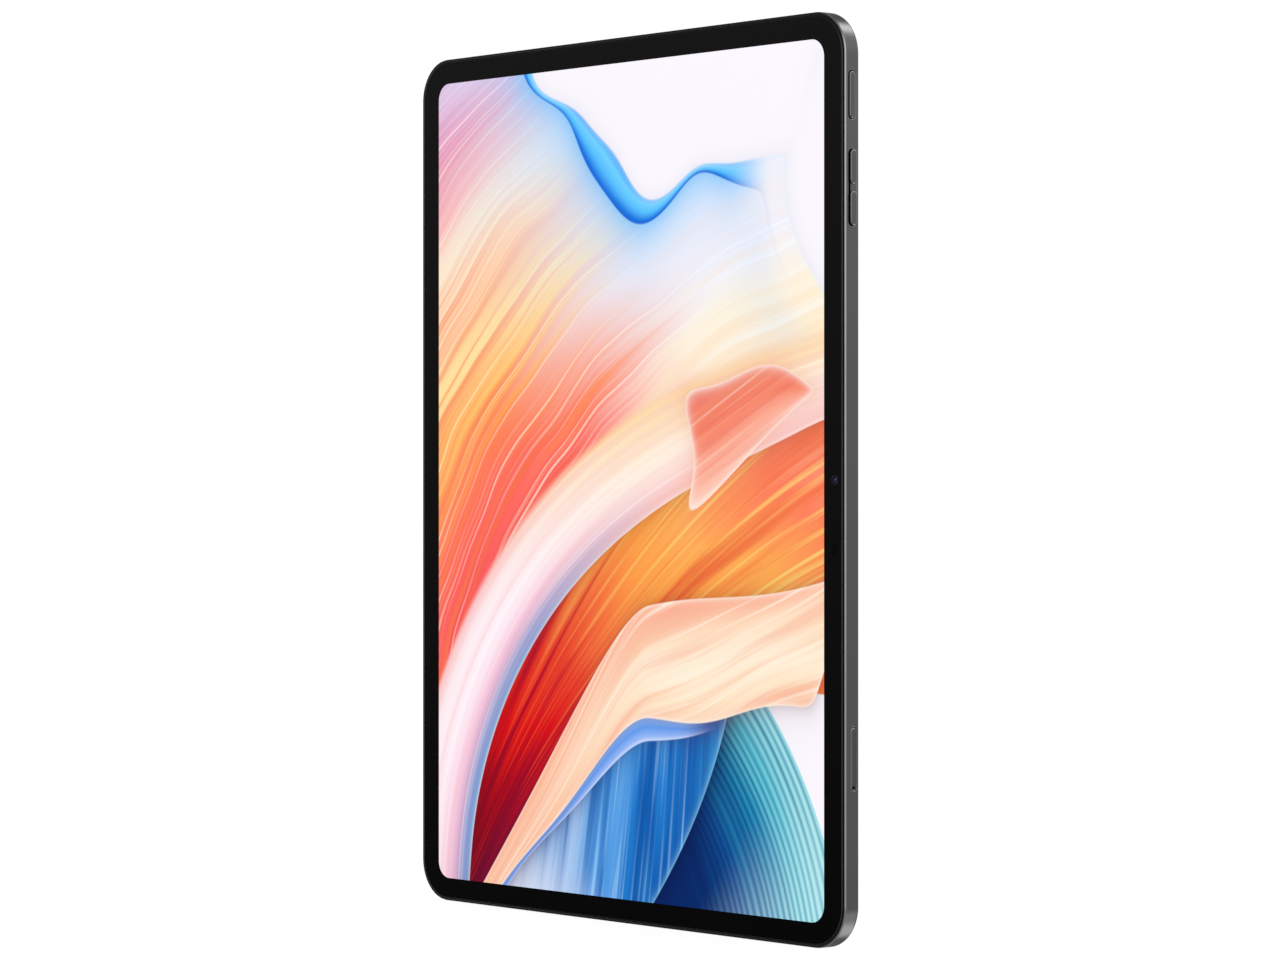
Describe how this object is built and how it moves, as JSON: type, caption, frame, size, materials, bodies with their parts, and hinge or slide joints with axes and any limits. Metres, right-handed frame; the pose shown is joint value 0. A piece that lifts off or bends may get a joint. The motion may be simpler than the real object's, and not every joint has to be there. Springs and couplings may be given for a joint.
{
  "type": "tablet computer",
  "caption": "Thin upright tablet computer: dark metal housing, edge-to-edge glass with an even black border, side keys, card tray, ports and a raised rear camera.",
  "frame": {"origin": "centre of the flat back face, half way along the long and the short sides", "axes": "+Z along the long sides with the power key end up, +X towards the long side with the keys and card tray, +Y out of the back; the screen faces -Y"},
  "size_m": [0.1886, 0.0082, 0.2552],
  "materials": {
    "housing_metal": "fine bead-blasted, dark grey anodised, satin",
    "key_metal": "dark grey anodised with a bright diamond-cut edge",
    "black_plastic": "matt moulded black",
    "cover_glass": "polished glass over a black printed border and a lit picture",
    "display_panel": "laminated dark panel",
    "backlight": "white diffusing film in a thin tray",
    "adhesive_foam": "black double-sided foam tape",
    "flex_film": "amber polyimide film with copper tracks",
    "graphite": "dark grey pressed graphite",
    "stainless_steel": "stamped stainless steel",
    "mesh_steel": "black woven acoustic mesh",
    "seal_rubber": "matt black silicone",
    "circuit_board": "dark green solder mask with gold pads",
    "battery_foil": "dark laminated foil pouch, slightly creased",
    "lens_glass": "coated dark optical glass",
    "antenna_plastic": "dark grey moulded plastic, flush with the metal"
  },
  "bodies": {
    "tablet_body": {"rear_housing": "housing_metal", "rear_camera_ring": "key_metal", "display_frame": "black_plastic", "front_camera_module": "black_plastic", "light_sensor": "black_plastic", "rear_camera_module": "black_plastic", "usb_c_tongue": "black_plastic", "speaker_top_left": "black_plastic", "speaker_top_right": "black_plastic", "speaker_bottom_left": "black_plastic", "speaker_bottom_right": "black_plastic", "cover_glass": "cover_glass", "lcd_panel": "display_panel", "backlight_unit": "backlight", "display_adhesive": "adhesive_foam", "display_flex": "flex_film", "key_flex": "flex_film", "main_flex": "flex_film", "antenna_flex_top": "flex_film", "antenna_flex_bottom": "flex_film", "graphite_sheet": "graphite", "key_bracket": "stainless_steel", "power_switch": "stainless_steel", "volume_up_switch": "stainless_steel", "volume_down_switch": "stainless_steel", "card_socket": "stainless_steel", "eject_lever_pin": "stainless_steel", "usb_c_shell": "stainless_steel", "processor_shield": "stainless_steel", "power_shield": "stainless_steel", "connector_cover": "stainless_steel", "microphone_top": "stainless_steel", "microphone_bottom": "stainless_steel", "board_screw_1": "stainless_steel", "board_screw_2": "stainless_steel", "board_screw_3": "stainless_steel", "board_screw_4": "stainless_steel", "port_screw_1": "stainless_steel", "port_screw_2": "stainless_steel", "speaker_mesh_top_left": "mesh_steel", "speaker_mesh_top_right": "mesh_steel", "speaker_mesh_bottom_left": "mesh_steel", "speaker_mesh_bottom_right": "mesh_steel", "usb_board": "circuit_board", "main_board": "circuit_board", "battery_board": "circuit_board", "battery_cell_upper": "battery_foil", "battery_cell_lower": "battery_foil", "front_camera_lens": "lens_glass", "rear_camera_glass": "lens_glass", "antenna_window_top": "antenna_plastic", "antenna_window_bottom": "antenna_plastic"},
    "power_key": {"power_key": "key_metal"},
    "volume_rocker": {"volume_rocker": "key_metal"},
    "card_tray": {"card_tray": "key_metal", "card_tray_seal": "seal_rubber"},
    "eject_rod": {"eject_rod": "stainless_steel"},
    "eject_lever": {"eject_lever": "stainless_steel"},
    "focus_lens": {"rear_camera_lens": "lens_glass"}
  },
  "joints": [
    {"name": "power_key_press", "type": "slide", "parent": "tablet_body", "child": "power_key", "axis": [-1, 0, 0], "range_m": [0, 0.0003], "stiffness_N_per_m": 2500},
    {"name": "volume_rocker_rock", "type": "hinge", "parent": "tablet_body", "child": "volume_rocker", "pos_m": [0.089, -0.00379, 0.0793], "axis": [0, 1, 0], "range_deg": [-1.2, 1.2], "stiffness_Nm_per_rad": 0.5},
    {"name": "card_tray_slide", "type": "slide", "parent": "tablet_body", "child": "card_tray", "axis": [1, 0, 0], "range_m": [0, 0.026]},
    {"name": "eject_rod_push", "type": "slide", "parent": "tablet_body", "child": "eject_rod", "axis": [-1, 0, 0], "range_m": [0, 0.0022]},
    {"name": "eject_lever_turn", "type": "hinge", "parent": "tablet_body", "child": "eject_lever", "pos_m": [0.0652, -0.00329, -0.0775], "axis": [0, 1, 0], "range_deg": [0, 21.6]},
    {"name": "focus_travel", "type": "slide", "parent": "tablet_body", "child": "focus_lens", "axis": [0, 1, 0], "range_m": [0, 0.0003], "stiffness_N_per_m": 60}
  ],
  "couplings": [
    {"joint": "eject_lever_turn", "follows": "eject_rod_push", "rad_per_m": 169.49}
  ]
}
